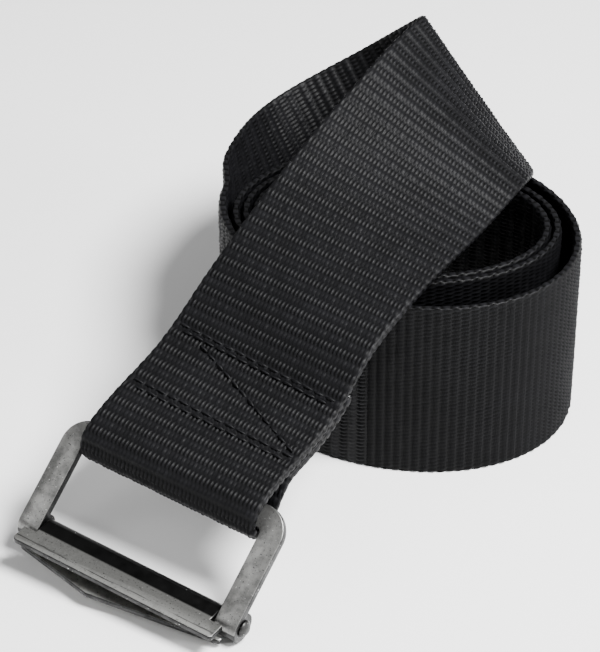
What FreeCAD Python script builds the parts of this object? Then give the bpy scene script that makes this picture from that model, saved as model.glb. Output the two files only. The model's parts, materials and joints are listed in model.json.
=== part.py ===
"""Rolled web belt with an open steel buckle.

The webbing stands on its edge as a roll of a little over three turns.  Its outer end leaves the roll
at the left, climbs behind it, folds over at the back right and comes down across the front to the
buckle.  All lengths are millimetres, +Z is up and the roll stands on z = 0.
"""
import FreeCAD, Part
import Sketcher
import math
import os
from FreeCAD import Placement, Rotation, Vector

doc = FreeCAD.newDocument("web_belt")

# ---------------------------------------------------------------- driving dimensions
DIMENSIONS = [
    ("webbing_width", 50.8, "two inch webbing"),
    ("webbing_thick", 2.5, "heavy ribbed nylon"),
    ("ply_gap", 0.15, "free gap between neighbouring turns"),
    ("roll_centre_x", 24.3, "roll axis from the origin"),
    ("roll_centre_y", 19.9, "roll axis from the origin"),
    ("roll_turns", 3.25, "turns from the free end to where the webbing leaves the roll"),
    ("roll_start", -15.0, "angle of the free end, clockwise from the front, degrees"),
    ("inner_half_length", 36.0, "half length of the innermost turn, on its middle line"),
    ("inner_half_width", 24.0, "half width of the innermost turn, on its middle line"),
    ("inner_tilt", -8.0, "turn of the inner oval about Z, degrees"),
    ("outer_half_length", 47.4, "half length of the loose outer turn"),
    ("outer_half_width", 38.2, "half width of the loose outer turn"),
    ("outer_tilt", -30.0, "turn of the outer oval about Z, degrees"),
    ("fold_leg", 0.04, "share of a run that the rounded fold takes up"),
    ("bar_thick", 2.4, "thickness of the buckle frame"),
    ("bar_width", 6.0, "width of the buckle frame's sides and crossbar"),
    ("side_gap", 0.8, "gap between the webbing and each side of the frame"),
    ("frame_length", 25.6, "crossbar axis to hinge pin axis"),
    ("corner_round", 7.0, "outer corner radius of the frame"),
    ("pin_radius", 1.3, "hinge pin"),
    ("pin_fit", 0.05, "radial clearance on the hinge pin"),
    ("head_radius", 2.2, "formed head of the hinge pin"),
    ("head_high", 1.2, "height of the formed head"),
    ("head_face", 1.1, "radius of the flat on top of the head"),
    ("head_rim", 0.54, "straight part of the head's height"),
    ("lever_thick", 1.5, "sheet of the clamp lever"),
    ("lever_reach", 9.4, "hinge pin axis to the free edge of the top plate"),
    ("lug_span", 58.6, "width over the two lugs of the top plate"),
    ("lug_start", 4.3, "hinge pin axis to the root of the lugs"),
    ("tab_reach", 11.0, "hinge pin axis to the peak of the thumb tab"),
    ("tab_peak", 6.0, "thumb tab peak, to the left of the middle"),
    ("tab_left", 6.6, "hinge pin axis to the tab's edge at its left end"),
    ("tab_right", 5.6, "hinge pin axis to the tab's edge at its right end"),
    ("lever_open", 38.0, "lever angle above flat, as it stands, degrees"),
    ("buckle_yaw", -33.5, "crossbar direction in plan, degrees from X"),
    ("buckle_dip", -3.5, "crossbar slope down to the right, degrees"),
    ("buckle_slope", 40.0, "slope of the buckle down from the crossbar, degrees"),
    ("crossbar_x", -54.6, "crossbar middle from the roll axis"),
    ("crossbar_y", -73.2, "crossbar middle from the roll axis"),
    ("crossbar_z", 24.4, "crossbar middle above the ground"),
    ("corner_inner", 1.2, "inner corner radius of the frame"),
    ("lug_round", 1.1, "corners of the lugs and of the thumb tab"),
    ("lever_play", 0.4, "end play of the lever between the frame's sides"),
    ("loop_gap", 0.3, "gap between the sewn loop and the corners of the crossbar"),
    ("thread_radius", 0.35, "sewing thread"),
    ("seal_length", 1.5, "heat sealed tip of the free end"),
]
sheet = doc.addObject("Spreadsheet::Sheet", "D")
for row, (alias, value, note) in enumerate(DIMENSIONS, start=1):
    sheet.set(f"A{row}", alias)
    sheet.set(f"B{row}", str(value))
    sheet.set(f"C{row}", note)
    sheet.setAlias(f"B{row}", alias)
doc.recompute()


def size(alias):
    """One driving dimension, read from the sheet."""
    return float(sheet.get(alias))


WIDTH = size("webbing_width")
THICK = size("webbing_thick")
LOOP_INNER = math.hypot(size("bar_width"), size("bar_thick")) / 2 + size("loop_gap")
LOOP_RADIUS = LOOP_INNER + THICK / 2
FRAME_INNER = WIDTH + 2 * size("side_gap")
FRAME_OUTER = FRAME_INNER + 2 * size("bar_width")
PIN_DROP = size("pin_radius") + size("pin_fit") + size("bar_thick") / 2
ROLL_CENTRE = Vector(size("roll_centre_x"), size("roll_centre_y"), 0)

# ---------------------------------------------------------------- the webbing's path
# Ribs of the free run, from the roll's axis: the webbing's upper edge, then its lower edge.
CLIMB_RIBS = [
    (Vector(-44.0, 30.5, 52.1), Vector(-36.0, 28.5, 1.9)),
    (Vector(-32.4, 59.0, 51.0), Vector(-9.9, 44.4, 7.0)),
    (Vector(-8.4, 69.0, 60.5), Vector(14.9, 44.3, 22.4)),
]
FOLD_RIB = (Vector(8.8, 55.5, 79.0), Vector(36.8, 35.4, 42.6))
FRONT_RIBS = [
    (Vector(-4.9, 35.0, 77.0), Vector(33.0, 10.0, 54.3)),
    (Vector(-19.6, 15.0, 69.3), Vector(20.9, -10.2, 53.4)),
    (Vector(-34.0, -3.7, 59.9), Vector(7.5, -31.8, 53.0)),
    (Vector(-47.5, -23.3, 50.3), Vector(-6.7, -53.5, 48.5)),
    (Vector(-59.6, -39.0, 39.2), Vector(-18.8, -68.6, 35.2)),
]
LOOSE_FROM = 2.35    # turns after which the outer turn stands off from the others
LOOSE_TO = 2.7       # turns after which it has its full looseness


def blend(first, second, share):
    return first * (1 - share) + second * share


def smooth_step(value):
    value = min(max(value, 0.0), 1.0)
    return value * value * (3 - 2 * value)


def roll_point(turn):
    """Middle of the webbing at ground level, so many turns after its free end."""
    angle = math.radians(size("roll_start") + 360 * turn)
    loose = smooth_step((turn - LOOSE_FROM) / (LOOSE_TO - LOOSE_FROM))
    growth = (THICK + size("ply_gap")) * turn
    half_length = blend(size("inner_half_length") + growth, size("outer_half_length"), loose)
    half_width = blend(size("inner_half_width") + growth, size("outer_half_width"), loose)
    tilt = blend(size("inner_tilt"), size("outer_tilt"), loose)
    local = Vector(-half_length * math.sin(angle), -half_width * math.cos(angle), 0)
    return Rotation(Vector(0, 0, 1), tilt).multVec(local)


def roll_rib(turn):
    low = roll_point(turn)
    return low + Vector(0, 0, WIDTH), low


def catmull_rom(points, share):
    before, start, end, after = points
    return (
        start * 2
        + (end - before) * share
        + (before * 2 - start * 5 + end * 4 - after) * share**2
        + (start * 3 - before - end * 3 + after) * share**3
    ) * 0.5


def rib_on(ribs, place):
    """Rib at a place along a run: 0 is its second rib, because the first only steers the curve."""
    index = min(int(place), len(ribs) - 4)
    near = ribs[index:index + 4]
    return tuple(catmull_rom([rib[edge] for rib in near], place - index) for edge in (0, 1))


def steer(rib, neighbour):
    """A rib past the end of a run, mirrored from the rib before it."""
    return tuple(rib[edge] * 2 - neighbour[edge] for edge in (0, 1))


def crossbar_rotation():
    yaw = Rotation(Vector(0, 0, 1), size("buckle_yaw"))
    dip = Rotation(Vector(0, 1, 0), -size("buckle_dip"))
    return yaw.multiply(dip)


CROSSBAR = Vector(size("crossbar_x"), size("crossbar_y"), size("crossbar_z"))
ALONG_BAR = crossbar_rotation().multVec(Vector(1, 0, 0))
LAST_FRONT = (FRONT_RIBS[-1][0] + FRONT_RIBS[-1][1]) * 0.5
TOWARDS_BAR = CROSSBAR - LAST_FRONT
TOWARDS_BAR = (TOWARDS_BAR - ALONG_BAR * TOWARDS_BAR.dot(ALONG_BAR)).normalize()
LOOP_UP = ALONG_BAR.cross(TOWARDS_BAR).normalize()
if LOOP_UP.z < 0:
    LOOP_UP = -LOOP_UP
LOOP_TOP = CROSSBAR + LOOP_UP * LOOP_RADIUS
LOOP_RIB = (LOOP_TOP - ALONG_BAR * (WIDTH / 2), LOOP_TOP + ALONG_BAR * (WIDTH / 2))
LAST_SPAN = (LOOP_TOP - LAST_FRONT).Length
PAST_LOOP = tuple(edge + TOWARDS_BAR * (2 * LAST_SPAN) for edge in FRONT_RIBS[-1])

LEAVING = roll_rib(size("roll_turns"))
LEAVING_WAY = (roll_point(size("roll_turns") + 0.01) - roll_point(size("roll_turns") - 0.01)).normalize()
LEAVING_SPAN = (CLIMB_RIBS[0][1] - LEAVING[1]).Length


def lead_in(start, following):
    """Point before the start of the climb, so that it starts along the roll and rises evenly."""
    point = following - LEAVING_WAY * (2 * LEAVING_SPAN)
    return Vector(point.x, point.y, 2 * start.z - following.z)


LEAD_IN = tuple(lead_in(start, following) for start, following in zip(LEAVING, CLIMB_RIBS[0]))
CLIMB = [LEAD_IN, LEAVING] + CLIMB_RIBS + [FOLD_RIB, steer(FOLD_RIB, CLIMB_RIBS[-1])]
FRONT = [steer(FOLD_RIB, FRONT_RIBS[0]), FOLD_RIB] + FRONT_RIBS + [LOOP_RIB, PAST_LOOP]
CLIMB_END = len(CLIMB) - 3
FRONT_END = len(FRONT) - 3


def climb_rib(place):
    return rib_on(CLIMB, place)


def front_rib(place):
    return rib_on(FRONT, place)


def fold_rib(share):
    """Rounded fold: a parabola from the climbing run to the front run."""
    start = climb_rib(CLIMB_END * (1 - size("fold_leg")))
    end = front_rib(FRONT_END * size("fold_leg"))
    return tuple(
        start[edge] * (1 - share)**2 + FOLD_RIB[edge] * (2 * share * (1 - share)) + end[edge] * share**2
        for edge in (0, 1)
    )


def frame_at(run, place, reach=0.01):
    """Middle, rib direction and face direction of the webbing at a place on a run."""
    upper, lower = run(place)
    ahead = run(place + reach)
    back = run(place - reach)
    travel = (ahead[0] + ahead[1]) - (back[0] + back[1])
    rib = (upper - lower).normalize()
    face = travel.cross(rib).normalize()
    return (upper + lower) * 0.5, rib, face


def section(middle, rib, face, lift=0.0):
    """Closed rectangle across the webbing; lift moves it along the face direction."""
    side = rib * (WIDTH / 2)
    out = face * (THICK / 2)
    centre = middle + face * lift + ROLL_CENTRE
    corners = [centre - side - out, centre + side - out, centre + side + out, centre - side + out]
    return Part.makePolygon(corners + corners[:1])


def span(run, start, end, count, lift=lambda place: 0.0):
    """Solid stretch of webbing, lofted through evenly spaced sections."""
    wires = []
    for step in range(count + 1):
        place = start + (end - start) * step / count
        wires.append(section(*frame_at(run, place), lift(place)))
    return Part.makeLoft(wires, True, False)


# ---------------------------------------------------------------- sub-parts
SECTIONS_PER_TURN = 36
SECTIONS_PER_SPAN = 4     # from one rib of the free run to the next
TIP_SECTIONS = 2
FOLD_SECTIONS = 6
TAIL_SECTIONS = 16
CLIMB_SPLIT = 2           # rib where the rear run ends and the climbing run starts
FRONT_SPLIT = 3           # rib where the front run is cut into an upper and a lower stretch
pieces = []


def add_shape(name, shape):
    piece = doc.addObject("Part::Feature", name)
    piece.Label = name
    piece.Shape = shape
    piece.Placement = Placement()
    pieces.append(piece)
    return piece


def upright_span(start, end, count):
    """Upright stretch of the roll: its plan between two smooth curves, raised to the webbing's width."""
    inner = []
    outer = []
    for step in range(count + 1):
        place = start + (end - start) * step / count
        face = frame_at(roll_rib, place)[2]
        low = roll_point(place) + ROLL_CENTRE
        inner.append(low + face * (THICK / 2))
        outer.append(low - face * (THICK / 2))
    curves = []
    for points in (inner, outer):
        curve = Part.BSplineCurve()
        curve.interpolate(points)
        curves.append(curve.toShape())
    ends = [Part.makeLine(inner[-1], outer[-1]), Part.makeLine(outer[0], inner[0])]
    plan = Part.Face(Part.Wire(Part.__sortEdges__(curves + ends)))
    return plan.extrude(Vector(0, 0, WIDTH))


def make_roll():
    turns = size("roll_turns")
    seal = size("seal_length") / (2 * math.pi * size("inner_half_width"))
    names = ["webbing_inner_turn", "webbing_middle_turn", "webbing_outer_turn", "webbing_leaving_run"]
    stops = [seal, 1.0, 2.0, 3.0, turns]
    add_shape("webbing_sealed_tip", upright_span(0.0, seal, TIP_SECTIONS))
    for name, start, end in zip(names, stops, stops[1:]):
        add_shape(name, upright_span(start, end, round((end - start) * SECTIONS_PER_TURN)))


def make_free_run():
    climb_stop = CLIMB_END * (1 - size("fold_leg"))
    front_start = FRONT_END * size("fold_leg")
    stretches = [
        ("webbing_rear_run", climb_rib, 0.0, CLIMB_SPLIT),
        ("webbing_climbing_run", climb_rib, CLIMB_SPLIT, climb_stop),
        ("webbing_upper_front_run", front_rib, front_start, FRONT_SPLIT),
        ("webbing_lower_front_run", front_rib, FRONT_SPLIT, FRONT_END),
    ]
    for name, run, start, end in stretches:
        add_shape(name, span(run, start, end, math.ceil((end - start) * SECTIONS_PER_SPAN)))
    add_shape("webbing_fold", span(fold_rib, 0.0, 1.0, FOLD_SECTIONS))


UNDER_GAP = 0.05     # between the top ply and the sewn tail
TAIL_START = 4.60    # place on the front run where the doubled tail ends
MERGE_AT = 5.50      # place where the tail comes up against the top ply


def tail_lift(place):
    """The tail lies against the top ply, then parts from it to go round the crossbar."""
    flat = -(THICK + UNDER_GAP)
    wide = -2 * LOOP_RADIUS
    return blend(flat, wide, smooth_step((place - MERGE_AT) / (FRONT_END - MERGE_AT)))


def face_sign():
    """+1 where the front run's face direction points up, -1 where it points down."""
    return 1.0 if frame_at(front_rib, FRONT_END)[2].z > 0 else -1.0


def make_end_loop():
    sign = face_sign()
    middle, rib, face = frame_at(front_rib, FRONT_END)
    start = Part.Face(section(middle, rib, face))
    axis = CROSSBAR + ROLL_CENTRE
    side = -1.0 if rib.cross(LOOP_UP).dot(TOWARDS_BAR) < 0 else 1.0
    loop = start.revolve(axis, rib * side, 180)
    add_shape("webbing_buckle_loop", loop)
    add_shape("webbing_sewn_tail",
              span(front_rib, TAIL_START, FRONT_END, TAIL_SECTIONS, lambda place: sign * tail_lift(place)))


SEAMS = [
    ("stitch_rear_row_a", (4.72, 0.03), (4.72, 0.97)),
    ("stitch_rear_row_b", (4.80, 0.03), (4.80, 0.97)),
    ("stitch_diagonal", (4.84, 0.19), (5.40, 0.95)),
    ("stitch_front_row_a", (5.44, 0.03), (5.44, 0.97)),
    ("stitch_front_row_b", (5.52, 0.03), (5.52, 0.97)),
]


THREAD_CLEAR = 0.15  # thread above the webbing
SEAM_POINTS = 7      # points that a row of stitching follows over the curve of the webbing


def seam_point(place, across, lift):
    """Point on the front run; across is 0 at its left edge and 1 at its right edge."""
    middle, rib, face = frame_at(front_rib, place)
    return middle + rib * (WIDTH * (0.5 - across)) + face * lift + ROLL_CENTRE


def make_seams():
    sign = face_sign()
    radius = size("thread_radius")
    top = sign * (THICK / 2 + radius + THREAD_CLEAR)
    under = -sign * (THICK * 1.5 + UNDER_GAP + radius + THREAD_CLEAR)
    for name, start, end in SEAMS:
        threads = []
        for lift in (top, under):
            points = []
            for step in range(SEAM_POINTS):
                share = step / (SEAM_POINTS - 1)
                place = blend(start[0], end[0], share)
                across = blend(start[1], end[1], share)
                points.append(seam_point(place, across, lift))
            way = points[-1] - points[0]
            rings = [Part.Wire(Part.makeCircle(radius, point, way)) for point in points]
            threads.append(Part.makeLoft(rings, True, True))
        add_shape(name, Part.makeCompound(threads))


# ---------------------------------------------------------------- buckle, in its own axes
# X runs along the crossbar to the right, Y from the hinge pin to the crossbar and beyond, and Z out
# of the buckle's face.  The crossbar axis is the origin.
BUCKLE = Placement(CROSSBAR + ROLL_CENTRE,
                   crossbar_rotation().multiply(Rotation(Vector(1, 0, 0), size("buckle_slope"))))
TOUCH = 0.01         # lengths closer than this count as the same
PIN_AT = Placement(Vector(0, -size("frame_length"), -PIN_DROP), Rotation())
LEVER_TURN = Placement(Vector(), Rotation(Vector(1, 0, 0), -size("lever_open")))

# Expressions shared by the sketches; D is the sheet of driving dimensions.
INNER_HALF = "(D.webbing_width / 2 + D.side_gap)"
OUTER_HALF = "(D.webbing_width / 2 + D.side_gap + D.bar_width)"
BARREL_HALF = "(D.webbing_width / 2 + D.side_gap - D.lever_play)"
LUG_HALF = "(D.lug_span / 2)"
BORE = "(D.pin_radius + D.pin_fit)"
EYE = "(D.pin_radius + D.pin_fit + D.bar_thick)"
BARREL = "(D.pin_radius + D.pin_fit + D.lever_thick)"
PIN_LEVEL = "(-D.pin_radius - D.pin_fit - D.bar_thick / 2)"
HEAD_FOOT = "(D.webbing_width / 2 + D.side_gap + D.bar_width + D.pin_fit)"


def new_body(name, placement):
    body = doc.addObject("PartDesign::Body", name)
    body.Label = name
    body.Placement = placement
    pieces.append(body)
    return body


def new_sketch(body, name, role, height="0"):
    """Sketch on one of the body's origin planes, lifted along that plane's normal."""
    sketch = body.newObject("Sketcher::SketchObject", name)
    plane = next(item for item in body.Origin.OriginFeatures if item.Role == role)
    sketch.AttachmentSupport = (plane, [""])
    sketch.MapMode = "FlatFace"
    sketch.setExpression("AttachmentOffset.Base.z", height)
    return sketch


def drive(sketch, kind, geometry, position, text):
    """Tie a point of the sketch to its origin by a driven distance."""
    value = float(sketch.evalExpression(text))
    index = sketch.addConstraint(Sketcher.Constraint(kind, -1, 1, geometry, position, value))
    sketch.setExpression(f"Constraints[{index}]", text)


def draw_polygon(sketch, corners):
    """Closed outline; each corner is a pair of expressions."""
    points = [Vector(*[float(sketch.evalExpression(text)) for text in corner], 0) for corner in corners]
    for start, end in zip(points, points[1:] + points[:1]):
        sketch.addGeometry(Part.LineSegment(start, end))
    for line in range(len(points)):
        sketch.addConstraint(Sketcher.Constraint("Coincident", line, 2, (line + 1) % len(points), 1))
    for line, (across, along) in enumerate(corners):
        drive(sketch, "DistanceX", line, 1, across)
        drive(sketch, "DistanceY", line, 1, along)


def draw_circle(sketch, across, along, radius):
    centre = Vector(*[float(sketch.evalExpression(text)) for text in (across, along)], 0)
    value = float(sketch.evalExpression(radius))
    circle = sketch.addGeometry(Part.Circle(centre, Vector(0, 0, 1), value))
    drive(sketch, "DistanceX", circle, 3, across)
    drive(sketch, "DistanceY", circle, 3, along)
    index = sketch.addConstraint(Sketcher.Constraint("Radius", circle, value))
    sketch.setExpression(f"Constraints[{index}]", radius)


def add_feature(body, kind, name, sketch, length=None, both_ways=False):
    """Pad or pocket of a sketch; without a length it goes right through."""
    feature = body.newObject("PartDesign::" + kind, name)
    feature.Profile = sketch
    if length is None:
        feature.Type = "ThroughAll"
    else:
        feature.setExpression("Length", length)
    if both_ways:
        feature.SideType = "Symmetric"
    body.Tip = feature
    doc.recompute()
    return feature


def round_edges(body, name, radius, wanted):
    """Fillet on the edges of the body's present shape that wanted() picks."""
    base = body.Tip
    edges = [f"Edge{number}" for number, edge in enumerate(base.Shape.Edges, start=1) if wanted(edge)]
    fillet = body.newObject("PartDesign::Fillet", name)
    fillet.Base = (base, edges)
    fillet.setExpression("Radius", radius)
    body.Tip = fillet
    doc.recompute()
    return fillet


def upright_at(edge, across):
    """True for a straight edge along the body's Z, at this distance either side of the middle."""
    box = edge.BoundBox
    upright = box.XLength < TOUCH and box.YLength < TOUCH
    return upright and abs(abs(box.XMin) - across) < TOUCH


def make_frame():
    body = new_body("buckle_frame", BUCKLE)
    plate = new_sketch(body, "frame_outline", "XY_Plane", "-D.bar_thick / 2")
    draw_polygon(plate, [
        ("-" + OUTER_HALF, "D.bar_width / 2"),
        ("-" + OUTER_HALF, "-D.frame_length"),
        ("-" + INNER_HALF, "-D.frame_length"),
        ("-" + INNER_HALF, "-D.bar_width / 2"),
        (INNER_HALF, "-D.bar_width / 2"),
        (INNER_HALF, "-D.frame_length"),
        (OUTER_HALF, "-D.frame_length"),
        (OUTER_HALF, "D.bar_width / 2"),
    ])
    add_feature(body, "Pad", "frame_plate", plate, "D.bar_thick")
    eye = new_sketch(body, "frame_eye_circle", "YZ_Plane")
    draw_circle(eye, "-D.frame_length", PIN_LEVEL, EYE)
    add_feature(body, "Pad", "frame_eyes", eye, "2 * " + OUTER_HALF, both_ways=True)
    window = new_sketch(body, "frame_window_outline", "XY_Plane")
    draw_polygon(window, [
        ("-" + INNER_HALF, "-D.bar_width / 2"),
        ("-" + INNER_HALF, "-D.frame_length - 2 * " + EYE),
        (INNER_HALF, "-D.frame_length - 2 * " + EYE),
        (INNER_HALF, "-D.bar_width / 2"),
    ])
    add_feature(body, "Pocket", "frame_window", window, both_ways=True)
    bore = new_sketch(body, "frame_bore_circle", "YZ_Plane")
    draw_circle(bore, "-D.frame_length", PIN_LEVEL, BORE)
    add_feature(body, "Pocket", "frame_bore", bore, both_ways=True)
    near_bar = -size("bar_width")
    round_edges(body, "frame_outer_corners", "D.corner_round",
                lambda edge: upright_at(edge, FRAME_OUTER / 2) and edge.BoundBox.YMin > 0)
    round_edges(body, "frame_inner_corners", "D.corner_inner",
                lambda edge: upright_at(edge, FRAME_INNER / 2) and edge.BoundBox.YMin > near_bar)
    return body


def make_pin():
    body = new_body("hinge_pin", BUCKLE.multiply(PIN_AT))
    sketch = new_sketch(body, "pin_profile", "XY_Plane")
    tip = HEAD_FOOT + " + D.head_high"
    draw_polygon(sketch, [
        ("-(" + tip + ")", "0"),
        (tip, "0"),
        (tip, "D.head_face"),
        (HEAD_FOOT + " + D.head_rim", "D.head_radius"),
        (HEAD_FOOT, "D.head_radius"),
        (HEAD_FOOT, "D.pin_radius"),
        ("-" + HEAD_FOOT, "D.pin_radius"),
        ("-" + HEAD_FOOT, "D.head_radius"),
        ("-(" + HEAD_FOOT + " + D.head_rim)", "D.head_radius"),
        ("-(" + tip + ")", "D.head_face"),
    ])
    turned = body.newObject("PartDesign::Revolution", "pin_turned")
    turned.Profile = sketch
    turned.ReferenceAxis = (sketch, ["H_Axis"])
    turned.Angle = 360
    body.Tip = turned
    doc.recompute()
    return body


def make_lever():
    body = new_body("clamp_lever", BUCKLE.multiply(PIN_AT).multiply(LEVER_TURN))
    barrel = new_sketch(body, "barrel_circle", "YZ_Plane")
    draw_circle(barrel, "0", "0", BARREL)
    add_feature(body, "Pad", "barrel", barrel, "2 * " + BARREL_HALF, both_ways=True)
    top = new_sketch(body, "top_plate_outline", "XY_Plane", BORE)
    draw_polygon(top, [
        ("-" + BARREL_HALF, "0"),
        ("-" + BARREL_HALF, "-D.lug_start"),
        ("-" + LUG_HALF, "-D.lug_start"),
        ("-" + LUG_HALF, "-D.lever_reach"),
        (LUG_HALF, "-D.lever_reach"),
        (LUG_HALF, "-D.lug_start"),
        (BARREL_HALF, "-D.lug_start"),
        (BARREL_HALF, "0"),
    ])
    add_feature(body, "Pad", "top_plate", top, "D.lever_thick")
    low = new_sketch(body, "thumb_tab_outline", "XY_Plane", "-" + BARREL)
    draw_polygon(low, [
        ("-" + BARREL_HALF, "0"),
        ("-" + BARREL_HALF, "-D.lug_start"),
        ("-" + LUG_HALF, "-D.lug_start"),
        ("-" + LUG_HALF, "-D.tab_left"),
        ("-D.tab_peak", "-D.tab_reach"),
        (LUG_HALF, "-D.tab_right"),
        (LUG_HALF, "-D.lug_start"),
        (BARREL_HALF, "-D.lug_start"),
        (BARREL_HALF, "0"),
    ])
    add_feature(body, "Pad", "thumb_tab", low, "D.lever_thick")
    slot = new_sketch(body, "lever_slot_outline", "YZ_Plane")
    draw_polygon(slot, [
        ("0", "-" + BORE),
        ("0", BORE),
        ("-2 * D.tab_reach", BORE),
        ("-2 * D.tab_reach", "-" + BORE),
    ])
    add_feature(body, "Pocket", "lever_slot", slot, both_ways=True)
    bore = new_sketch(body, "lever_bore_circle", "YZ_Plane")
    draw_circle(bore, "0", "0", BORE)
    add_feature(body, "Pocket", "lever_bore", bore, both_ways=True)
    past_root = -size("lug_start") - TOUCH
    round_edges(body, "lug_corners", "D.lug_round",
                lambda edge: upright_at(edge, size("lug_span") / 2) and edge.BoundBox.YMax < past_root)
    return body


def check_and_write():
    doc.recompute()
    for item in doc.Objects:
        if "Invalid" in item.State or "Error" in item.State:
            raise RuntimeError(f"{item.Name} failed: {item.State}")
    os.makedirs("parts", exist_ok=True)
    for piece in pieces:
        shape = piece.Shape
        if shape.isNull() or not shape.isValid():
            raise RuntimeError(f"{piece.Label} has no valid shape")
        shape.exportStep(f"parts/{piece.Label}.step")
        box = shape.BoundBox
        print(f"{piece.Label:26s} volume {shape.Volume:9.1f}  z {box.ZMin:6.2f} to {box.ZMax:6.2f}")
    whole = Part.makeCompound([piece.Shape for piece in pieces]).BoundBox
    print("box", [round(value, 2) for value in (whole.XMin, whole.XMax, whole.YMin, whole.YMax,
                                                whole.ZMin, whole.ZMax)])
    hinge = BUCKLE.multiply(PIN_AT).Base
    print("crossbar", BUCKLE.Base, "hinge pin", hinge, "axis", ALONG_BAR)


make_roll()
make_free_run()
make_end_loop()
make_seams()
make_frame()
make_pin()
make_lever()
check_and_write()
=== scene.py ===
import json
import math

import bmesh
import bpy
from mathutils import Euler, Matrix, Vector, noise


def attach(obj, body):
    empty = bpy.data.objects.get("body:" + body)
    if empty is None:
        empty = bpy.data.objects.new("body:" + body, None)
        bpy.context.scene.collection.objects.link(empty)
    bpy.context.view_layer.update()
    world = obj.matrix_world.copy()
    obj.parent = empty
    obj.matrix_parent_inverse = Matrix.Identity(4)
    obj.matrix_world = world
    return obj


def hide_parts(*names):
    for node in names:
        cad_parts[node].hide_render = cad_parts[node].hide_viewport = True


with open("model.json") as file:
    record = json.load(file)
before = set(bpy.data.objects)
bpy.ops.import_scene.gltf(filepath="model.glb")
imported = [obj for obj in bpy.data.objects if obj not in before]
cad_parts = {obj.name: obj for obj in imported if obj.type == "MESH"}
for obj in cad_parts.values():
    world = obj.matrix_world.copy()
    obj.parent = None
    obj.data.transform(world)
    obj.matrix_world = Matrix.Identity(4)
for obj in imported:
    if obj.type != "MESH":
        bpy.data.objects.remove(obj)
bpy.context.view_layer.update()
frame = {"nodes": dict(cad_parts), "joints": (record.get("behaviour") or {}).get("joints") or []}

# A ribbed nylon web belt, rolled and standing on its edge, with a sewn-on steel clamp buckle.
# Lengths are in millimetres until a vertex is placed; mm turns them to metres.

mm = 0.001
jointPlaces = {joint["name"]: joint for joint in frame["joints"]}
barJoint = jointPlaces["buckle_swing"]
rollCentre = Vector((24.3, 19.9, 0.0))
crossbar = Vector(barJoint["pos_m"]) / mm - rollCentre
barAxis = Vector(barJoint["axis"])


# ---- the strap's route, as the frame has it, from the roll's axis at ground level

route = {
    "width": 50.8,
    "thickness": 2.5,
    "plyGap": 0.15,
    "turns": 3.25,              # from the free end to where the strap leaves the roll
    "freeEndAngle": -15,        # degrees clockwise from the front
    "sealLength": 1.5,          # the fused tip of the free end
    "innerOval": (36, 24, -8),          # half length, half width and tilt of the tight turns
    "looseOval": (47.4, 38.2, -30),     # the same for the loose outer turn
    "looseFrom": 2.35,
    "looseTo": 2.7,
    "foldLeg": 0.04,            # share of a run that the rounded fold takes up
    "loopRadius": 4.781,        # crossbar axis to the middle of the strap round it
    "tailStart": 4.60,          # place on the front run where the sewn tail ends
    "tailMeets": 5.50,          # place where the tail comes up against the top ply
    "underGap": 0.05,
}
# Each rib is the strap's upper edge, then its lower edge.  These places weren't chosen by hand: they go
# back to a least-squares fit to the photo, made outside this file, and five of the nine were moved since.
climbRibs = [
    (Vector((-44.0, 30.5, 52.1)), Vector((-36.0, 28.5, 1.9))),
    (Vector((-32.4, 59.0, 51.0)), Vector((-9.9, 44.4, 7.0))),
    (Vector((-8.4, 69.0, 60.5)), Vector((14.9, 44.3, 22.4))),
]
foldEdge = (Vector((8.8, 55.5, 79.0)), Vector((36.8, 35.4, 42.6)))
frontRibs = [
    (Vector((-4.9, 35.0, 77.0)), Vector((33.0, 10.0, 54.3))),
    (Vector((-19.6, 15.0, 69.3)), Vector((20.9, -10.2, 53.4))),
    (Vector((-34.0, -3.7, 59.9)), Vector((7.5, -31.8, 53.0))),
    (Vector((-47.5, -23.3, 50.3)), Vector((-6.7, -53.5, 48.5))),
    (Vector((-59.6, -39.0, 39.2)), Vector((-18.8, -68.6, 35.2))),
]


def blend(first, second, share):
    return first * (1 - share) + second * share


def smoothStep(value):
    value = min(max(value, 0.0), 1.0)
    return value * value * (3 - 2 * value)


def rollRib(turn):
    angle = math.radians(route["freeEndAngle"] + 360 * turn)
    loose = smoothStep((turn - route["looseFrom"]) / (route["looseTo"] - route["looseFrom"]))
    growth = (route["thickness"] + route["plyGap"]) * turn
    innerLength, innerWidth, innerTilt = route["innerOval"]
    looseLength, looseWidth, looseTilt = route["looseOval"]
    halfLength = blend(innerLength + growth, looseLength, loose)
    halfWidth = blend(innerWidth + growth, looseWidth, loose)
    tilt = Matrix.Rotation(math.radians(blend(innerTilt, looseTilt, loose)), 3, "Z")
    low = tilt @ Vector((-halfLength * math.sin(angle), -halfWidth * math.cos(angle), 0))
    return low + Vector((0, 0, route["width"])), low


def catmullRom(points, share):
    before, start, end, after = points
    return (
        start * 2
        + (end - before) * share
        + (before * 2 - start * 5 + end * 4 - after) * share**2
        + (start * 3 - before - end * 3 + after) * share**3
    ) * 0.5


def ribOn(ribs, place):
    index = min(int(place), len(ribs) - 4)
    near = ribs[index:index + 4]
    return tuple(catmullRom([rib[edge] for rib in near], place - index) for edge in (0, 1))


def steer(rib, neighbour):  # a rib past the end of a run, mirrored from the one before it
    return tuple(rib[edge] * 2 - neighbour[edge] for edge in (0, 1))


towardsBar = crossbar - (frontRibs[-1][0] + frontRibs[-1][1]) * 0.5
towardsBar = (towardsBar - barAxis * towardsBar.dot(barAxis)).normalized()
loopUp = barAxis.cross(towardsBar).normalized()
if loopUp.z < 0:
    loopUp = -loopUp
loopTop = crossbar + loopUp * route["loopRadius"]
halfBar = barAxis * (route["width"] / 2)
loopRib = (loopTop - halfBar, loopTop + halfBar)
lastSpan = (loopTop - (frontRibs[-1][0] + frontRibs[-1][1]) * 0.5).length
pastLoop = tuple(edge + towardsBar * (2 * lastSpan) for edge in frontRibs[-1])

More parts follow.
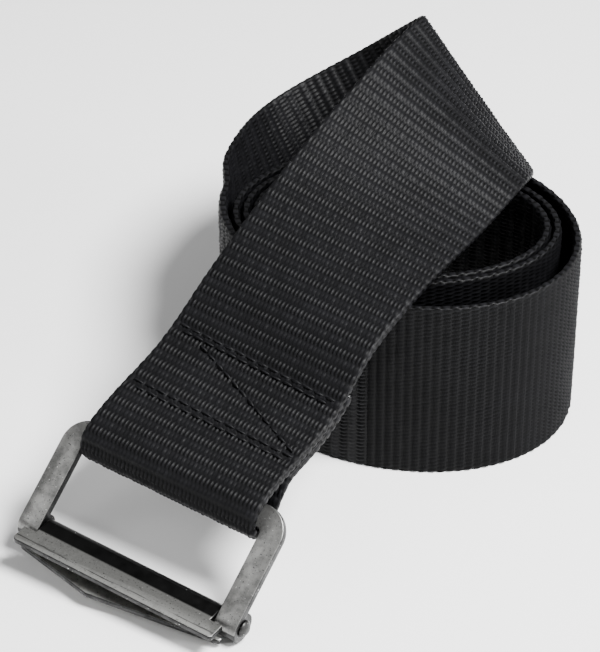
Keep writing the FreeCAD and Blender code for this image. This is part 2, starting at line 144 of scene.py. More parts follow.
leaving = rollRib(route["turns"])
leavingWay = (rollRib(route["turns"] + 0.01)[1] - rollRib(route["turns"] - 0.01)[1]).normalized()
leavingSpan = (climbRibs[0][1] - leaving[1]).length


def leadInTo(start, following):  # so that the climb starts along the roll and rises evenly
    point = following - leavingWay * (2 * leavingSpan)
    return Vector((point.x, point.y, 2 * start.z - following.z))


leadIn = tuple(leadInTo(start, following) for start, following in zip(leaving, climbRibs[0]))
climbRun = [leadIn, leaving] + climbRibs + [foldEdge, steer(foldEdge, climbRibs[-1])]
frontRun = [steer(foldEdge, frontRibs[0]), foldEdge] + frontRibs + [loopRib, pastLoop]
climbEnd = len(climbRun) - 3
frontEnd = len(frontRun) - 3


def climbRib(place):
    return ribOn(climbRun, place)


def frontRib(place):
    return ribOn(frontRun, place)


def foldRib(share):
    start = climbRib(climbEnd * (1 - route["foldLeg"]))
    end = frontRib(frontEnd * route["foldLeg"])
    return tuple(
        start[edge] * (1 - share)**2 + foldEdge[edge] * (2 * share * (1 - share)) + end[edge] * share**2
        for edge in (0, 1)
    )


def frameAt(run, place, reach=0.01):
    # middle of the strap, the direction of its ribs and the direction of its inner face
    upper, lower = run(place)
    ahead = run(place + reach)
    back = run(place - reach)
    travel = (ahead[0] + ahead[1]) - (back[0] + back[1])
    rib = (upper - lower).normalized()
    return (upper + lower) * 0.5, rib, travel.cross(rib).normalized()


innerFaceUp = 1.0 if frameAt(frontRib, frontEnd)[2].z > 0 else -1.0


def loopFrame(share):  # half a turn round the crossbar
    middle, rib, face = frameAt(frontRib, frontEnd)
    side = -1.0 if rib.cross(loopUp).dot(towardsBar) < 0 else 1.0
    turn = Matrix.Rotation(math.pi * share * side, 3, rib)
    return crossbar + turn @ (middle - crossbar), rib, turn @ face


def tailFrame(place):  # back under the front run, to the tail's cut end
    middle, rib, face = frameAt(frontRib, place)
    flat = -(route["thickness"] + route["underGap"])
    apart = smoothStep((place - route["tailMeets"]) / (frontEnd - route["tailMeets"]))
    lift = blend(flat, -2 * route["loopRadius"], apart)
    return middle + face * (innerFaceUp * lift), rib, -face


tipShare = route["sealLength"] / (math.tau * route["innerOval"][1])
legs = [  # the CAD node, where its stretch starts and ends, and how it runs
    ("webbing_sealed_tip", 0.0, tipShare, lambda p: frameAt(rollRib, p)),
    ("webbing_inner_turn", tipShare, 1.0, lambda p: frameAt(rollRib, p)),
    ("webbing_middle_turn", 1.0, 2.0, lambda p: frameAt(rollRib, p)),
    ("webbing_outer_turn", 2.0, 3.0, lambda p: frameAt(rollRib, p)),
    ("webbing_leaving_run", 3.0, route["turns"], lambda p: frameAt(rollRib, p)),
    ("webbing_rear_run", 0.0, 2.0, lambda p: frameAt(climbRib, p)),
    ("webbing_climbing_run", 2.0, climbEnd * (1 - route["foldLeg"]), lambda p: frameAt(climbRib, p)),
    ("webbing_fold", 0.0, 1.0, lambda p: frameAt(foldRib, p)),
    ("webbing_upper_front_run", frontEnd * route["foldLeg"], 3.0, lambda p: frameAt(frontRib, p)),
    ("webbing_lower_front_run", 3.0, float(frontEnd), lambda p: frameAt(frontRib, p)),
    ("webbing_buckle_loop", 0.0, 1.0, loopFrame),
    ("webbing_sewn_tail", float(frontEnd), route["tailStart"], tailFrame),
]


def walkRoute(steps=160):
    # the whole strap as close stations: length run so far, middle, rib and inner face
    stations = []
    reached = {}
    length = 0.0
    for node, start, end, frameOf in legs:
        for step in range(steps + 1):
            middle, rib, face = frameOf(blend(start, end, step / steps))
            if stations:
                length += (middle - stations[-1][1]).length
            stations.append((length, middle, rib, face))
        reached[node] = length
    return stations, reached


stations, lengthAt = walkRoute()
print("strap route:", round(stations[-1][0]), "mm of webbing")


def stationAt(length, hint):
    # the station at that length, and the place in the list where the next search starts
    while hint < len(stations) - 2 and stations[hint + 1][0] < length:
        hint += 1
    before, after = stations[hint], stations[hint + 1]
    gap = after[0] - before[0]
    share = min(max((length - before[0]) / gap, 0.0), 1.0) if gap > 1e-9 else 0.0
    middle, rib, face = (blend(before[part], after[part], share) for part in (1, 2, 3))
    return middle, rib.normalized(), face.normalized(), hint


# ---- materials

def linear(hexColour):
    values = [int(hexColour[i:i + 2], 16) / 255 for i in (1, 3, 5)]
    return tuple(v / 12.92 if v <= 0.04045 else ((v + 0.055) / 1.055)**2.4 for v in values) + (1.0,)


def addNode(tree, kind, settings=None, inputs=None):
    node = tree.nodes.new(kind)
    for name, value in (settings or {}).items():
        setattr(node, name, value)
    for socket, value in (inputs or {}).items():
        if isinstance(value, bpy.types.NodeSocket):
            tree.links.new(value, node.inputs[socket])
        else:
            node.inputs[socket].default_value = value
    return node


def newMaterial(name):
    material = bpy.data.materials.new(name)
    material.use_nodes = True
    tree = material.node_tree
    return material, tree, tree.nodes["Principled BSDF"]


def makeWovenNylon():
    # filament nylon in thick cords: near black, painted lighter along each cord's crest, with painted shade
    # in the slits between cords and the grooves between ribs
    look = {
        # painted shade and light: the slit colour is painted shade between the cords, the crest colour the
        # painted light along their tops
        "crestPaintedLit": "#101012", "slit": "#010101",
        "filament": 0.16,       # mm between filaments, drawn coarser than the real 0.03
        "cloud": 14.0,          # mm across the faint lighter and darker patches
    }
    material, tree, shader = newMaterial("wovenNylonWebbing")
    place = addNode(tree, "ShaderNodeAttribute", {"attribute_name": "weavePlace"})
    paintedShadeTone = addNode(tree, "ShaderNodeAttribute", {"attribute_name": "weavePaintedShadeTone"})
    streaks = addNode(tree, "ShaderNodeMapping", inputs={
        "Vector": place.outputs["Vector"], "Scale": (1 / look["filament"], 0.35, 1)})
    filaments = addNode(tree, "ShaderNodeTexNoise", {"noise_dimensions": "2D"}, {
        "Vector": streaks.outputs["Vector"], "Scale": 1.0, "Detail": 2.0})
    patches = addNode(tree, "ShaderNodeTexNoise", {"noise_dimensions": "2D"}, {
        "Vector": place.outputs["Vector"], "Scale": 1 / look["cloud"], "Detail": 2.0})
    # painted shade: the ramp darkens the slits and grooves and lightens the cord crests
    colour = addNode(tree, "ShaderNodeValToRGB", inputs={"Fac": paintedShadeTone.outputs["Fac"]})
    colour.color_ramp.elements[0].position = 0.22
    colour.color_ramp.elements[0].color = linear(look["slit"])
    colour.color_ramp.elements[1].color = linear(look["crestPaintedLit"])
    shade = addNode(tree, "ShaderNodeMapRange", inputs={
        "Value": patches.outputs["Fac"], "From Min": 0.3, "From Max": 0.7, "To Min": 0.78, "To Max": 1.12})
    mixed = addNode(tree, "ShaderNodeMix", {"data_type": "RGBA", "blend_type": "MULTIPLY"}, {
        "Factor": 1.0, "A": colour.outputs["Color"], "B": shade.outputs["Result"]})
    rough = addNode(tree, "ShaderNodeMapRange", inputs={
        "Value": filaments.outputs["Fac"], "To Min": 0.4, "To Max": 0.6})
    bump = addNode(tree, "ShaderNodeBump", inputs={
        "Height": filaments.outputs["Fac"], "Strength": 0.5, "Distance": 0.06 * mm})
    tree.links.new(mixed.outputs["Result"], shader.inputs["Base Color"])
    tree.links.new(rough.outputs["Result"], shader.inputs["Roughness"])
    tree.links.new(bump.outputs["Normal"], shader.inputs["Normal"])
    shader.inputs["IOR"].default_value = 1.53
    shader.inputs["Specular IOR Level"].default_value = 0.09
    return material


def makeFusedNylon():
    # nylon melted by a hot knife: glossy, lumpy, a touch lighter than the weave
    material, tree, shader = newMaterial("fusedNylonEnd")
    where = addNode(tree, "ShaderNodeTexCoord")
    lumps = addNode(tree, "ShaderNodeTexNoise", inputs={
        "Vector": where.outputs["Object"], "Scale": 1 / (0.9 * mm), "Detail": 3.0})
    colour = addNode(tree, "ShaderNodeValToRGB", inputs={"Fac": lumps.outputs["Fac"]})
    colour.color_ramp.elements[0].color = linear("#080809")
    colour.color_ramp.elements[1].color = linear("#222224")
    bump = addNode(tree, "ShaderNodeBump", inputs={
        "Height": lumps.outputs["Fac"], "Strength": 0.7, "Distance": 0.3 * mm})
    tree.links.new(colour.outputs["Color"], shader.inputs["Base Color"])
    tree.links.new(bump.outputs["Normal"], shader.inputs["Normal"])
    shader.inputs["Roughness"].default_value = 0.3
    return material


def makeBondedThread():
    # bonded nylon sewing thread: twisted plies under a thin glossy skin
    material, tree, shader = newMaterial("bondedNylonThread")
    where = addNode(tree, "ShaderNodeTexCoord")
    plies = addNode(tree, "ShaderNodeTexWave", {"wave_type": "BANDS", "bands_direction": "DIAGONAL"}, {
        "Vector": where.outputs["Object"], "Scale": 1 / (2.2 * mm), "Distortion": 0.6})
    colour = addNode(tree, "ShaderNodeValToRGB", inputs={"Fac": plies.outputs["Fac"]})
    colour.color_ramp.elements[0].color = linear("#040405")
    colour.color_ramp.elements[1].color = linear("#121214")
    bump = addNode(tree, "ShaderNodeBump", inputs={
        "Height": plies.outputs["Fac"], "Strength": 0.6, "Distance": 0.1 * mm})
    tree.links.new(colour.outputs["Color"], shader.inputs["Base Color"])
    tree.links.new(bump.outputs["Normal"], shader.inputs["Normal"])
    shader.inputs["Roughness"].default_value = 0.5
    shader.inputs["Specular IOR Level"].default_value = 0.12
    return material


buckleTurn = Euler((math.radians(40), math.radians(3.5), math.radians(-33.5)), "XYZ")  # slope, dip, yaw


def buckleCoordinates(tree):  # Object coordinates turned to the buckle's own axes, from the crossbar
    where = addNode(tree, "ShaderNodeTexCoord")
    return addNode(tree, "ShaderNodeMapping", {"vector_type": "TEXTURE"}, {
        "Vector": where.outputs["Object"], "Location": tuple((crossbar + rollCentre) * mm),
        "Rotation": tuple(buckleTurn)})


def makeTumbledSteel(name, light, dark, scratchAt=None, paintedReflectionFrom=None):
    # plated steel tumbled in a barrel: satin grey, cloudy, with pits, small bright chips and scratches
    look = {"cloud": 3.5, "pit": 0.45, "hairline": 0.25}
    material, tree, shader = newMaterial(name)
    local = buckleCoordinates(tree)
    clouds = addNode(tree, "ShaderNodeTexNoise", inputs={
        "Vector": local.outputs["Vector"], "Scale": 1 / (look["cloud"] * mm), "Detail": 6.0,
        "Roughness": 0.65})
    pits = addNode(tree, "ShaderNodeTexNoise", inputs={
        "Vector": local.outputs["Vector"], "Scale": 1 / (look["pit"] * mm), "Detail": 1.0})
    drawn = addNode(tree, "ShaderNodeMapping", inputs={
        "Vector": local.outputs["Vector"],
        "Scale": (1 / (14 * mm), 1 / (look["hairline"] * mm), 1 / (look["hairline"] * mm))})
    hairlines = addNode(tree, "ShaderNodeTexNoise", inputs={
        "Vector": drawn.outputs["Vector"], "Scale": 1.0, "Detail": 3.0})
    colour = addNode(tree, "ShaderNodeValToRGB", inputs={"Fac": clouds.outputs["Fac"]})
    colour.color_ramp.elements[0].position = 0.34
    colour.color_ramp.elements[0].color = linear(dark)
    colour.color_ramp.elements[1].position = 0.62
    colour.color_ramp.elements[1].color = linear(light)
    pitMask = addNode(tree, "ShaderNodeMapRange", inputs={
        "Value": pits.outputs["Fac"], "From Min": 0.66, "From Max": 0.72})
    pitted = addNode(tree, "ShaderNodeMix", {"data_type": "RGBA"}, {
        "Factor": pitMask.outputs["Result"], "A": colour.outputs["Color"], "B": linear("#4a4a4a")})
    chipMask = addNode(tree, "ShaderNodeMapRange", inputs={
        "Value": pits.outputs["Fac"], "From Min": 0.245, "From Max": 0.215})
    chipped = addNode(tree, "ShaderNodeMix", {"data_type": "RGBA"}, {
        "Factor": chipMask.outputs["Result"], "A": pitted.outputs["Result"], "B": linear("#dededc")})
    surface = chipped
    if scratchAt is not None:  # one long broken scratch along the plate
        across = addNode(tree, "ShaderNodeSeparateXYZ", inputs={"Vector": local.outputs["Vector"]})
        wander = addNode(tree, "ShaderNodeTexNoise", {"noise_dimensions": "1D"}, {
            "W": across.outputs["X"], "Scale": 1 / (9 * mm), "Detail": 4.0})
        offset = addNode(tree, "ShaderNodeMath", {"operation": "MULTIPLY_ADD"}, {
            0: wander.outputs["Fac"], 1: 0.8 * mm, 2: scratchAt * mm})
        away = addNode(tree, "ShaderNodeMath", {"operation": "SUBTRACT"}, {
            0: across.outputs["Y"], 1: offset.outputs["Value"]})
        near = addNode(tree, "ShaderNodeMath", {"operation": "ABSOLUTE"}, {0: away.outputs["Value"]})
        line = addNode(tree, "ShaderNodeMapRange", inputs={
            "Value": near.outputs["Value"], "From Min": 0.22 * mm, "From Max": 0.08 * mm})
        broken = addNode(tree, "ShaderNodeMapRange", inputs={
            "Value": hairlines.outputs["Fac"], "From Min": 0.44, "From Max": 0.52})
        mask = addNode(tree, "ShaderNodeMath", {"operation": "MULTIPLY"}, {
            0: line.outputs["Result"], 1: broken.outputs["Result"]})
        surface = addNode(tree, "ShaderNodeMix", {"data_type": "RGBA"}, {
            "Factor": mask.outputs["Value"], "A": chipped.outputs["Result"], "B": linear("#3c3c3c")})
        paintedReflectionMask = addNode(tree, "ShaderNodeMapRange", inputs={  # painted dark reflection: the rolled barrel's strip is painted near black where it mirrors dark surroundings
            "Value": across.outputs["Y"], "From Min": (paintedReflectionFrom - 0.35) * mm, "From Max": paintedReflectionFrom * mm})
        # painted reflection: mixes the barrel strip to near black
        surface = addNode(tree, "ShaderNodeMix", {"data_type": "RGBA"}, {
            "Factor": paintedReflectionMask.outputs["Result"], "A": surface.outputs["Result"], "B": linear("#1e1e1e")})
    rough = addNode(tree, "ShaderNodeMapRange", inputs={
        "Value": clouds.outputs["Fac"], "From Min": 0.3, "From Max": 0.7, "To Min": 0.5, "To Max": 0.34})
    height = addNode(tree, "ShaderNodeMix", {"data_type": "FLOAT"}, {
        "Factor": 0.4, "A": hairlines.outputs["Fac"], "B": pits.outputs["Fac"]})
    bump = addNode(tree, "ShaderNodeBump", inputs={
        "Height": height.outputs["Result"], "Strength": 0.35, "Distance": 0.05 * mm})
    tree.links.new(surface.outputs["Result"], shader.inputs["Base Color"])
    tree.links.new(rough.outputs["Result"], shader.inputs["Roughness"])
    tree.links.new(bump.outputs["Normal"], shader.inputs["Normal"])
    shader.inputs["Metallic"].default_value = 1.0
    return material


# ---- the webbing

weave = {
    "rowPitch": 2.3,        # one cross rib to the next
    "floats": 45,           # warp cords side by side across the strap
    "relief": 0.75,         # top of a cord to the bottom of the slit beside it
    "groove": 0.28,         # height of the groove between ribs, as a share of the relief
    "groovePaintedShadeTone": 0.6,      # painted shade in the groove, from a slit's painted dark at 0 to a crest's painted light at 1
    "cordFlat": 0.6,        # 1 is a round cord, less is a flatter one with steeper sides
    "ribFlat": 0.6,         # the same for a cross rib
    "unevenness": 0.14,     # how much cords differ in height
    "stepsAlong": 4,        # mesh steps over one rib
    "scallop": 0.28,        # how far a rib stands out at the strap's edges
    "rimInset": 0.1,        # how far the edge lies in, at a groove
    "rimSteps": (-0.6, 0.0, 0.6),  # places of the edge's mesh, from one face to the other
    "edgeRound": 0.45,      # how much thinner the strap is at its edges
    "edgeBand": 1.2,        # over this much of its width
    "edgeFlat": 0.5,        # how much of the relief is gone at the edge
    "pinch": 0.3,           # how deep the sewing pulls the face in
    "pinchReach": 0.9,      # and how far from the seam that is felt
    "pinchFrom": 5,         # how long before the first seam it is worked out
    "tuck": 0.06,           # how far a piece's last ring lies under the next piece
}
rowCount = round(stations[-1][0] / weave["rowPitch"])
rowPitch = stations[-1][0] / rowCount

seams = {  # where each seam starts and ends: place on the front run, then left 0 to right 1
    "stitch_rear_row_a": ((4.73, 0.03), (4.73, 0.97)),
    "stitch_rear_row_b": ((4.79, 0.03), (4.79, 0.97)),
    "stitch_diagonal": ((4.84, 0.19), (5.40, 0.95)),
    "stitch_front_row_a": ((5.45, 0.03), (5.45, 0.97)),
    "stitch_front_row_b": ((5.51, 0.03), (5.51, 0.97)),
}


def dome(share, power=1.0):
    return max(1 - (2 * share - 1)**2, 0.0)**power


def ringOf(outsideSteps, insideSteps):
    # the strap's outline at one station: (distance across, side, place among the cords) round it
    width, floats = route["width"], weave["floats"]
    outline = []
    for step in range(floats * outsideSteps + 1):
        share = step / (floats * outsideSteps)
        outline.append((width * (0.5 - share), -1.0, share * floats))
    outline += [(-width / 2, side, 0.0) for side in weave["rimSteps"]]
    for step in range(floats * insideSteps + 1):
        share = 1 - step / (floats * insideSteps)
        outline.append((width * (0.5 - share), 1.0, share * floats))
    outline += [(width / 2, side, 0.0) for side in reversed(weave["rimSteps"])]
    return outline + outline[:1]


def pinchAt(length, across):
    # how much the sewing squeezes the strap, 0 to 1, on the top ply and on the tail under it
    if length > tailFrom:
        length = seamMirror - length
    nearest = math.inf
    if length > seamsFrom:
        for (startLength, startAcross), (endLength, endAcross) in seamLines:
            run = (endLength - startLength, endAcross - startAcross)
            away = (length - startLength, across - startAcross)
            share = (away[0] * run[0] + away[1] * run[1]) / (run[0]**2 + run[1]**2)
            share = min(max(share, 0.0), 1.0)
            nearest = min(nearest, math.hypot(away[0] - run[0] * share, away[1] - run[1] * share))
    return math.exp(-(nearest / weave["pinchReach"])**2)


def frontLength(place):
    # length along the whole strap at a place on the front run, near its sewn end
    middle = frameAt(frontRib, place)[0]
    spot = min(stations, key=lambda station: (station[1] - middle).length_squared)
    return spot[0]


seamLines = []
for (startPlace, startShare), (endPlace, endShare) in seams.values():
    seamLines.append((
        (frontLength(startPlace), route["width"] * (0.5 - startShare)),
        (frontLength(endPlace), route["width"] * (0.5 - endShare)),
    ))
tailFrom = lengthAt["webbing_buckle_loop"]
seamMirror = lengthAt["webbing_lower_front_run"] + tailFrom
seamsFrom = min(start[0] for start, end in seamLines) - weave["pinchFrom"]


def ringSpot(spot, row, rowRise, pinch):
    # how far sideways and outwards a point of the outline lies, and its painted shade tone in the weave:
    # dark in slits and grooves, light on crests
    across, side, cord = spot
    halfThick = route["thickness"] / 2
    halfWidth = route["width"] / 2
    if abs(side) < 1.0:
        bulge = weave["scallop"] * rowRise * math.sqrt(1 - side * side)
        rim = halfWidth - weave["rimInset"] + bulge
        # at the rim the painted shade follows the ribs, darkest in the grooves
        return math.copysign(rim, across), side * (halfThick - weave["edgeRound"]), rowRise
    shifted = cord + 0.5 * (row % 2)
    cordRise = dome(shifted % 1.0, weave["cordFlat"])
    cell = Vector((math.floor(shifted) + 0.5, row + 0.5, side))
    cordRise *= 1 - weave["unevenness"] * noise.cell(cell)
    rise = blend(weave["groove"], cordRise, rowRise)
    # painted shade tone: dark in slits and grooves, light on crests
    paintedShadeTone = blend(weave["groovePaintedShadeTone"], cordRise, rowRise)
    nearEdge = max(abs(across) - halfWidth + weave["edgeBand"], 0.0) / weave["edgeBand"]
    relief = weave["relief"] * (1 - weave["edgeFlat"] * nearEdge)
    out = halfThick - weave["edgeRound"] * nearEdge**2 - relief * (1 - rise)
    if side < 0:
        out -= weave["pinch"] * pinch
    return across, side * out, paintedShadeTone


def weaveStretch(name, nodes, outsideSteps, insideSteps, material):
    firstRow = round(lengthAt.get(before.get(nodes[0]), 0.0) / rowPitch)
    lastRow = round(lengthAt[nodes[-1]] / rowPitch)
    steps = weave["stepsAlong"]
    rings = (lastRow - firstRow) * steps + 2  # one ring more at each end, tucked under the next piece
    outline = ringOf(outsideSteps, insideSteps)
    bm = bmesh.new()
    bmesh.ops.create_grid(bm, x_segments=len(outline) - 1, y_segments=rings, size=0.5)
    # the painted shade tone of each vertex, read by the material
    paintedShadeToneLayer = bm.verts.layers.float.new("weavePaintedShadeTone")
    placeLayer = bm.verts.layers.float_vector.new("weavePlace")
    ladder = {}
    for vert in bm.verts:
        ladder.setdefault(round((vert.co.y + 0.5) * rings), []).append(vert)
    hint = 0
    for ring, verts in sorted(ladder.items()):
        row, part = divmod(firstRow * steps + ring - 1, steps)
        length = (row + part / steps) * rowPitch
        middle, rib, face, hint = stationAt(length, hint)
        rowRise = dome(part / steps, weave["ribFlat"])
        tuck = weave["tuck"] if ring in (0, rings) else 0.0
        for vert in verts:
            spot = outline[round((vert.co.x + 0.5) * (len(outline) - 1))]
            sideways, out, paintedShadeTone = ringSpot(spot, row, rowRise, pinchAt(length, spot[0]))
            sideways -= math.copysign(tuck, sideways)
            out -= math.copysign(tuck, out)
            vert[paintedShadeToneLayer] = paintedShadeTone
            vert[placeLayer] = Vector((spot[0], length, 0))
            vert.co = (middle + rib * sideways + face * out + rollCentre) * mm
    rims = [vert for vert in bm.verts if vert.is_boundary]
    bmesh.ops.remove_doubles(bm, verts=rims, dist=0.002 * mm)
    cutEnds = [edge for edge in bm.edges if edge.is_boundary]
    bmesh.ops.holes_fill(bm, edges=cutEnds, sides=0)
    for edge in cutEnds:  # keeps the hidden end faces out of the shading of the weave
        edge.smooth = False
    bmesh.ops.recalc_face_normals(bm, faces=bm.faces)
    piece = finishPiece(bm, name, material)
    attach(piece, "rolled_webbing")
    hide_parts(*nodes)
    return piece


def finishPiece(bm, name, *materials):
    mesh = bpy.data.meshes.new(name)
    bm.to_mesh(mesh)
    bm.free()
    for polygon in mesh.polygons:
        polygon.use_smooth = True
    for material in materials:
        mesh.materials.append(material)
    piece = bpy.data.objects.new(name, mesh)
    bpy.context.scene.collection.objects.link(piece)
    return piece


before = {node[0]: earlier[0] for earlier, node in zip(legs, legs[1:])}
wovenNylon = makeWovenNylon()
# piece, the CAD nodes it stands for, and mesh steps over a cord outside and inside; the turns,
# which are mostly hidden or long, get fewer, to stay under 200,000 triangles
stretches = [
    ("innerTurn", ["webbing_inner_turn"], 2, 3),
    ("middleTurn", ["webbing_middle_turn"], 2, 2),
    ("outerTurn", ["webbing_outer_turn"], 2, 2),
    ("risingRun", ["webbing_leaving_run", "webbing_rear_run", "webbing_climbing_run", "webbing_fold"], 3, 3),
    ("frontRun", ["webbing_upper_front_run", "webbing_lower_front_run", "webbing_buckle_loop",
                  "webbing_sewn_tail"], 3, 3),
]
for name, nodes, outsideSteps, insideSteps in stretches:
    piece = weaveStretch(name, nodes, outsideSteps, insideSteps, wovenNylon)
    print("woven:", name, len(piece.data.polygons), "faces")


# ---- fused ends

fusedEnd = {
    "lump": 0.35,           # how far the melted lumps stand out
    "grain": 1.4,           # and how far apart they are
    "columns": 90,
    "thinner": 0.9,         # than the strap
    "narrower": 0.7,
    "taper": 0.25,
    "tipReach": 1.3,        # how far the tip's piece runs, in tips
    "tailEndFrom": 0.02,    # the tail's end, before and after the place where CAD cuts it
    "tailEndTo": 0.03,
}


def makeFusedEnd(name, frameOf, start, end, node, material):
    # the strap's cut edge, melted to a lumpy rim as thick as the strap
    bm = bmesh.new()
    bmesh.ops.create_cube(bm, size=1.0)
    bmesh.ops.subdivide_edges(
        bm, edges=[edge for edge in bm.edges if abs((edge.verts[0].co - edge.verts[1].co).x) > 0.5],
        cuts=fusedEnd["columns"], use_grid_fill=True)
    bmesh.ops.subdivide_edges(
        bm, edges=[edge for edge in bm.edges if abs((edge.verts[0].co - edge.verts[1].co).x) < 0.001],
        cuts=2, use_grid_fill=True)
    for vert in bm.verts:
        across, along, deep = vert.co
        middle, rib, face = frameOf(blend(start, end, along + 0.5))
        grain = Vector((across * route["width"], along * 3, deep * 3)) / fusedEnd["grain"]
        lump = noise.noise(grain) * fusedEnd["lump"]
        thin = 1 - fusedEnd["taper"] * abs(along - 0.5)
        thick = (route["thickness"] - fusedEnd["thinner"]) * thin + lump
        wide = route["width"] - fusedEnd["narrower"] + lump
        ahead = frameOf(start)[0] - frameOf(end)[0]
        push = ahead.normalized() * lump if along < -0.4 else Vector()
        vert.co = (middle + rib * (across * wide) + face * (deep * thick) + push + rollCentre) * mm
    bmesh.ops.recalc_face_normals(bm, faces=bm.faces)
    piece = finishPiece(bm, name, material)
    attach(piece, "rolled_webbing")
    if node:
        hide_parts(node)
    return piece


fusedNylon = makeFusedNylon()
makeFusedEnd(
    "sealedTip", legs[0][3], 0.0, tipShare * fusedEnd["tipReach"], "webbing_sealed_tip", fusedNylon)
makeFusedEnd(
    "tailEnd", tailFrame, route["tailStart"] - fusedEnd["tailEndFrom"],
    route["tailStart"] + fusedEnd["tailEndTo"], None, fusedNylon)
print("fused ends made")


# ---- sewing

sewing = {
    "stitch": 3.4,          # length of one lockstitch
    "thread": 0.36,         # radius of the thread as it shows
    "sink": 0.25,           # how deep the ends pull into the weave
    "depth": 0.2,           # how far the seam lies below the top of the weave
    "gap": 0.05,            # share of a stitch left open at each of its ends
}


def sewSeam(node, start, end, material):
    # a row of lockstitches on the top ply and the same row under the sewn tail
    name = "seam" + "".join(word.capitalize() for word in node.split("_")[1:])
    topLift = route["thickness"] / 2 - sewing["depth"]
    underLift = sewing["depth"] - route["thickness"] * 1.5 - route["underGap"]
    late = 0.5 if node.endswith("_b") else 0.0  # the second row of a pair falls between the first one's
    bm = bmesh.new()
    for lift in (topLift, underLift):
        length = (seamSpot(start, lift) - seamSpot(end, lift)).length
        count = round(length / sewing["stitch"])
        for number in range(count - math.ceil(late)):
            begin, finish = ((number + late + share) / count
                             for share in (sewing["gap"], 1 - sewing["gap"]))
            near, far = (seamSpot([blend(a, b, share) for a, b in zip(start, end)], lift)
                         for share in (begin, finish))
            face = frameAt(frontRib, blend(start[0], end[0], begin))[2]
            addStitch(bm, near, far, face * math.copysign(1.0, innerFaceUp * lift))
    piece = finishPiece(bm, name, material)
    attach(piece, "rolled_webbing")
    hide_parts(node)
    return piece


def seamSpot(at, lift):
    middle, rib, face = frameAt(frontRib, at[0])
    across = route["width"] * (0.5 - at[1])
    return middle + rib * across + face * (innerFaceUp * lift) + rollCentre


def addStitch(bm, near, far, outwards):
    # a plump thread lying on the weave, with both ends drawn down into it
    stitch = bmesh.ops.create_uvsphere(bm, u_segments=8, v_segments=6, radius=1.0)["verts"]
    along = (far - near) / 2
    across = along.cross(outwards).normalized() * sewing["thread"]
    upwards = across.cross(along).normalized() * sewing["thread"]
    middle = (near + far) / 2
    for vert in stitch:
        x, y, z = vert.co
        drop = outwards * (sewing["sink"] * z * z)
        vert.co = (middle + across * x + upwards * y + along * z - drop) * mm


bondedThread = makeBondedThread()
for node, (start, end) in seams.items():
    sewSeam(node, start, end, bondedThread)
print("seams sewn")


# ---- steel

steelEdges = {"bevel": 0.32, "segments": 3, "sharpFrom": 35, "faceTurn": 0.7}


def roundedCopy(name, node, body, faceMaterial, sideMaterial):
    # the CAD piece with its stamped edges broken, faces and cut sides told apart
    bm = bmesh.new()
    bm.from_mesh(frame["nodes"][node].data)
    bmesh.ops.remove_doubles(bm, verts=bm.verts, dist=0.001 * mm)
    bmesh.ops.dissolve_limit(bm, angle_limit=math.radians(1), verts=bm.verts, edges=bm.edges)
    plateNormal = buckleTurn.to_matrix() @ Vector((0, 0, 1))
    for face in bm.faces:
        # faces turned away from the plate take the second material, which on the frame and lever is painted
        # shade
        face.material_index = 0 if abs(face.normal.dot(plateNormal)) > steelEdges["faceTurn"] else 1
    piece = finishPiece(bm, name, faceMaterial, sideMaterial)
    bevel = piece.modifiers.new("brokenEdges", "BEVEL")
    bevel.width = steelEdges["bevel"] * mm
    bevel.segments = steelEdges["segments"]
    bevel.limit_method = "ANGLE"
    bevel.angle_limit = math.radians(steelEdges["sharpFrom"])
    bevel.harden_normals = True
    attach(piece, body)
    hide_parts(node)
    return piece


plateSteel = makeTumbledSteel("tumbledSteelPlate", "#888886", "#5e5e5d")
# painted shade: the cut sides of the frame and lever are painted dark where they mirror dark surroundings
edgeSteelPaintedShade = makeTumbledSteel("steelEdgePaintedShade", "#3a3a3a", "#222222")
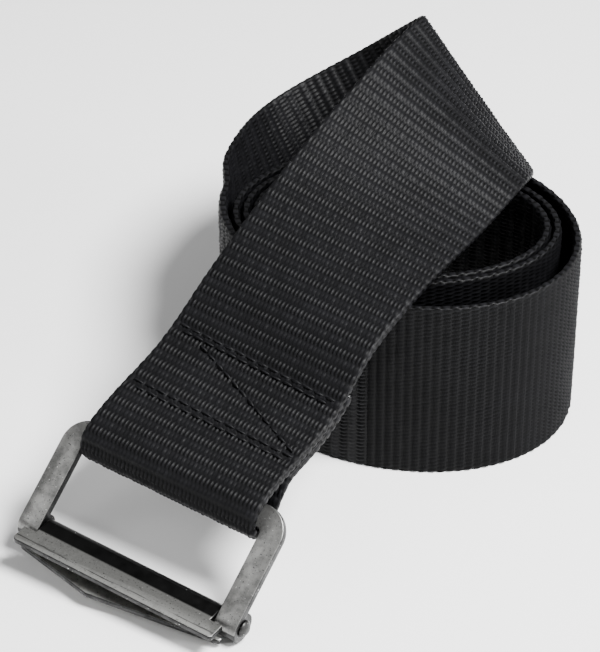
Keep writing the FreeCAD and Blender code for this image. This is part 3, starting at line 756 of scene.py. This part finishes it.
# the lever's steel is a lighter copy of the plate's steel, a painted highlight; its scratch is real, its
# barrel strip a painted dark reflection
leverSteelPaintedLight = makeTumbledSteel("tumbledSteelLeverPaintedLight", "#a2a29f", "#777775",
                              scratchAt=-30.3, paintedReflectionFrom=-26.4)
pinSteel = makeTumbledSteel("headedSteelPin", "#484847", "#2c2c2c")
roundedCopy("buckleFrame", "buckle_frame", "buckle", plateSteel, edgeSteelPaintedShade)
roundedCopy("clampLever", "clamp_lever", "lever", leverSteelPaintedLight, edgeSteelPaintedShade)
roundedCopy("hingePin", "hinge_pin", "buckle", pinSteel, pinSteel)
print("steel parts made")


# ---- stage, light and camera

studio = {
    "floorHalf": 2500, "floorColour": "#f2f2f2", "worldStrength": 0.35,
    "key": {"at": (430, -240, 800), "size": 380, "power": 34},
    "side": {"at": (760, -320, 330), "size": 260, "power": 5},
    "fill": {"at": (-600, -350, 600), "size": 500, "power": 1.5},
}


# The camera, in millimetres and degrees: the rounded result of a fit like the strap's.
view = {"at": (-1.0, -570.1, 437.9), "down": 35.55, "lens": 164.9, "sensor": 36}


def makeFloor():
    bm = bmesh.new()
    bmesh.ops.create_grid(bm, x_segments=1, y_segments=1, size=studio["floorHalf"] * mm)
    material, tree, shader = newMaterial("matteWhiteCard")
    shader.inputs["Base Color"].default_value = linear(studio["floorColour"])
    shader.inputs["Roughness"].default_value = 0.9
    finishPiece(bm, "floor", material)


def makeLamp(name):
    settings = studio[name]
    data = bpy.data.lights.new(name, "AREA")
    data.shape = "DISK"
    data.size = settings["size"] * mm
    data.energy = settings["power"]
    lamp = bpy.data.objects.new(name, data)
    lamp.location = Vector(settings["at"]) * mm
    lamp.rotation_euler = (-Vector(settings["at"])).to_track_quat("-Z", "Y").to_euler()
    bpy.context.scene.collection.objects.link(lamp)


def makeCamera():
    data = bpy.data.cameras.new("camera")
    data.sensor_fit = "HORIZONTAL"
    data.sensor_width = view["sensor"]
    data.lens = view["lens"]
    camera = bpy.data.objects.new("camera", data)
    camera.location = Vector(view["at"]) * mm
    camera.rotation_euler = (math.radians(90 - view["down"]), 0, 0)
    bpy.context.scene.collection.objects.link(camera)
    bpy.context.scene.camera = camera


def makeWorld():
    world = bpy.data.worlds.new("paleRoom")
    world.use_nodes = True
    sky = world.node_tree.nodes["Background"]
    sky.inputs["Color"].default_value = linear("#ffffff")
    sky.inputs["Strength"].default_value = studio["worldStrength"]
    bpy.context.scene.world = world


makeFloor()
makeWorld()
for name in ("key", "side", "fill"):
    makeLamp(name)
makeCamera()
print("stage set")
